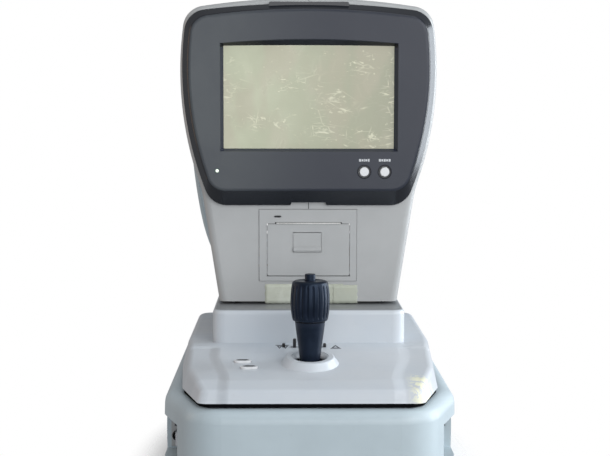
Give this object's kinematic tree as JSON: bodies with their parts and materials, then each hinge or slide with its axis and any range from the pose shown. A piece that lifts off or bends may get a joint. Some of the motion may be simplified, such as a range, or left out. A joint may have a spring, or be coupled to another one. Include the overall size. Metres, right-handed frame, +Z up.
{
  "type": "autorefractor",
  "caption": "Tabletop eye-measuring instrument with a screen, slip printer and joystick on a sliding stage, and a chin and forehead rest for the patient.",
  "frame": {"origin": "middle of the footprint, at the level of the table", "axes": "+X to the operator's right, +Y from the operator to the patient, +Z up"},
  "size_m": [0.2502, 0.486, 0.444],
  "materials": {
    "base_shell": "fine texture, satin",
    "stage_shell": "satin",
    "head_shell": "satin",
    "bezel": "fine texture, satin",
    "black_plastic": "satin",
    "key": "gloss",
    "joystick": "satin",
    "rubber": "matt",
    "steel": "machined",
    "polished": "polished",
    "aluminium": "mill finish",
    "bronze": "sintered",
    "board": "solder mask",
    "screen": "covered by an old protective film",
    "lens": "coated",
    "paper": "matt",
    "pad": "soft silicone",
    "cup": "satin",
    "motor": "satin"
  },
  "bodies": {
    "base": {"base_cover": "base_shell", "base_plate": "steel", "base_feet": "rubber", "rack_rails": "steel", "friction_plate": "polished", "power_supply": "aluminium", "main_board": "board", "port_panel": "head_shell", "port_connectors": "steel", "mains_fittings": "black_plastic", "frame_front_shell": "base_shell", "frame_rear_shell": "base_shell", "forehead_bar": "base_shell", "forehead_pad": "pad", "chin_bracket": "steel", "chin_drive": "motor"},
    "power_rocker": {"power_rocker": "black_plastic"},
    "chin_motor_pulley": {"chin_motor_pulley": "aluminium"},
    "chin_screw": {"chin_screw": "steel"},
    "chin_lift": {"chin_post": "aluminium", "chin_cup": "cup"},
    "chin_pin_left": {"chin_pin_left": "cup"},
    "chin_pin_right": {"chin_pin_right": "cup"},
    "carriage": {"axle_yoke": "aluminium"},
    "cross_axle": {"cross_axle": "polished"},
    "stage": {"stage_bushes": "bronze", "stage_chassis": "aluminium", "stage_cover": "stage_shell", "guide_columns": "polished", "lift_motor": "motor"},
    "lock_lever": {"lock_lever": "black_plastic"},
    "chin_up_button": {"chin_up_button": "key"},
    "chin_down_button": {"chin_down_button": "key"},
    "lift_screw": {"lift_screw": "steel"},
    "joystick_gimbal": {"joystick_gimbal": "steel"},
    "joystick": {"joystick_stick": "steel", "joystick_sleeve": "joystick"},
    "joystick_ring": {"joystick_ring": "joystick"},
    "joystick_button": {"joystick_button": "joystick"},
    "head": {"head_shell_left": "head_shell", "head_shell_right": "head_shell", "head_skirt": "black_plastic", "head_chassis": "aluminium", "lift_bearings": "bronze", "screen_bezel": "bezel", "display_panel": "screen", "head_boards": "board", "printer_frame": "head_shell", "printer_mechanism": "black_plastic", "optics_module": "motor", "optics_glass": "lens", "nose_cone": "black_plastic"},
    "print_button": {"print_button": "key"},
    "reset_button": {"reset_button": "key"},
    "printer_lid": {"printer_lid": "head_shell"},
    "printer_latch": {"printer_latch": "head_shell"},
    "platen_roller": {"platen_roller": "rubber"},
    "paper_roll": {"paper_roll": "paper"},
    "target_screw": {"target_screw": "steel"},
    "target_carriage": {"target_carriage": "aluminium"}
  },
  "joints": [
    {"name": "fore_aft_slide", "type": "slide", "parent": "base", "child": "carriage", "axis": [0, 1, 0], "range_m": [-0.02, 0.02]},
    {"name": "axle_roll", "type": "hinge", "parent": "carriage", "child": "cross_axle", "pos_m": [0, -0.01, 0.086], "axis": [1, 0, 0], "range_deg": [-150, 150]},
    {"name": "sideways_slide", "type": "slide", "parent": "carriage", "child": "stage", "axis": [1, 0, 0], "range_m": [-0.0425, 0.0425]},
    {"name": "joystick_fore_aft", "type": "hinge", "parent": "stage", "child": "joystick_gimbal", "pos_m": [0, -0.165, 0.113], "axis": [1, 0, 0], "range_deg": [-10, 10]},
    {"name": "joystick_sideways", "type": "hinge", "parent": "joystick_gimbal", "child": "joystick", "pos_m": [0, -0.165, 0.113], "axis": [0, 1, 0], "range_deg": [-10, 10]},
    {"name": "ring_turn", "type": "hinge", "parent": "joystick", "child": "joystick_ring", "pos_m": [0, -0.165, 0.175], "axis": [0, 0, 1], "range_deg": [0, 1080]},
    {"name": "joystick_button_press", "type": "slide", "parent": "joystick", "child": "joystick_button", "axis": [0, 0, -1], "range_m": [0, 0.0025], "stiffness_N_per_m": 500, "springref_m": -0.0005},
    {"name": "head_lift", "type": "slide", "parent": "stage", "child": "head", "axis": [0, 0, 1], "range_m": [0, 0.03]},
    {"name": "lift_screw_turn", "type": "hinge", "parent": "stage", "child": "lift_screw", "pos_m": [0, 0.02, 0.19], "axis": [0, 0, 1], "range_deg": [0, 1080]},
    {"name": "lock_slide", "type": "slide", "parent": "stage", "child": "lock_lever", "axis": [1, 0, 0], "range_m": [0, 0.023]},
    {"name": "chin_up_press", "type": "slide", "parent": "stage", "child": "chin_up_button", "axis": [0, 0, -1], "range_m": [0, 0.001], "stiffness_N_per_m": 500, "springref_m": -0.0005},
    {"name": "chin_down_press", "type": "slide", "parent": "stage", "child": "chin_down_button", "axis": [0, 0, -1], "range_m": [0, 0.001], "stiffness_N_per_m": 500, "springref_m": -0.0005},
    {"name": "print_press", "type": "slide", "parent": "head", "child": "print_button", "axis": [0, 1, 0], "range_m": [0, 0.0012], "stiffness_N_per_m": 400, "springref_m": -0.0005},
    {"name": "reset_press", "type": "slide", "parent": "head", "child": "reset_button", "axis": [0, 1, 0], "range_m": [0, 0.0012], "stiffness_N_per_m": 400, "springref_m": -0.0005},
    {"name": "printer_lid_open", "type": "hinge", "parent": "head", "child": "printer_lid", "pos_m": [0, -0.0768, 0.1876], "axis": [1, 0, 0], "range_deg": [0, 75]},
    {"name": "printer_latch_pull", "type": "hinge", "parent": "printer_lid", "child": "printer_latch", "pos_m": [-0.0011, -0.0772, 0.2218], "axis": [1, 0, 0], "range_deg": [-25, 0], "stiffness_Nm_per_rad": 0.05, "springref_deg": 5.73},
    {"name": "paper_roll_turn", "type": "hinge", "parent": "head", "child": "paper_roll", "pos_m": [0, -0.042, 0.212], "axis": [1, 0, 0], "continuous": true},
    {"name": "platen_turn", "type": "hinge", "parent": "printer_lid", "child": "platen_roller", "pos_m": [0, -0.0686, 0.2274], "axis": [1, 0, 0], "continuous": true},
    {"name": "power_rocker_tilt", "type": "hinge", "parent": "base", "child": "power_rocker", "pos_m": [0.1125, -0.1378, 0.071], "axis": [1, 0, 0], "range_deg": [-8, 8]},
    {"name": "chin_lift_slide", "type": "slide", "parent": "base", "child": "chin_lift", "axis": [0, 0, 1], "range_m": [-0.03, 0.03]},
    {"name": "chin_screw_turn", "type": "hinge", "parent": "base", "child": "chin_screw", "pos_m": [0, 0.168, 0.15], "axis": [0, 0, 1], "range_deg": [-2710, 2710]},
    {"name": "chin_pulley_turn", "type": "hinge", "parent": "base", "child": "chin_motor_pulley", "pos_m": [-0.044, 0.168, 0.115], "axis": [0, 0, 1], "range_deg": [-2710, 2710]},
    {"name": "chin_pin_left_pull", "type": "slide", "parent": "chin_lift", "child": "chin_pin_left", "axis": [0, 0, 1], "range_m": [0, 0.02]},
    {"name": "chin_pin_right_pull", "type": "slide", "parent": "chin_lift", "child": "chin_pin_right", "axis": [0, 0, 1], "range_m": [0, 0.02]},
    {"name": "target_slide", "type": "slide", "parent": "head", "child": "target_carriage", "axis": [0, 1, 0], "range_m": [-0.015, 0.015]},
    {"name": "target_screw_turn", "type": "hinge", "parent": "head", "child": "target_screw", "pos_m": [0.046, 0.01, 0.34], "axis": [0, 1, 0], "range_deg": [-2710, 2710]}
  ],
  "couplings": [
    {"joint": "axle_roll", "follows": "fore_aft_slide", "rad_per_m": -125},
    {"joint": "lift_screw_turn", "follows": "head_lift", "rad_per_m": 628.3},
    {"joint": "ring_turn", "follows": "head_lift", "rad_per_m": 628.3},
    {"joint": "chin_screw_turn", "follows": "chin_lift_slide", "rad_per_m": 1570.8},
    {"joint": "chin_pulley_turn", "follows": "chin_lift_slide", "rad_per_m": 1570.8},
    {"joint": "target_screw_turn", "follows": "target_slide", "rad_per_m": 3141.6},
    {"joint": "platen_turn", "follows": "paper_roll_turn", "ratio": 6.1111}
  ]
}
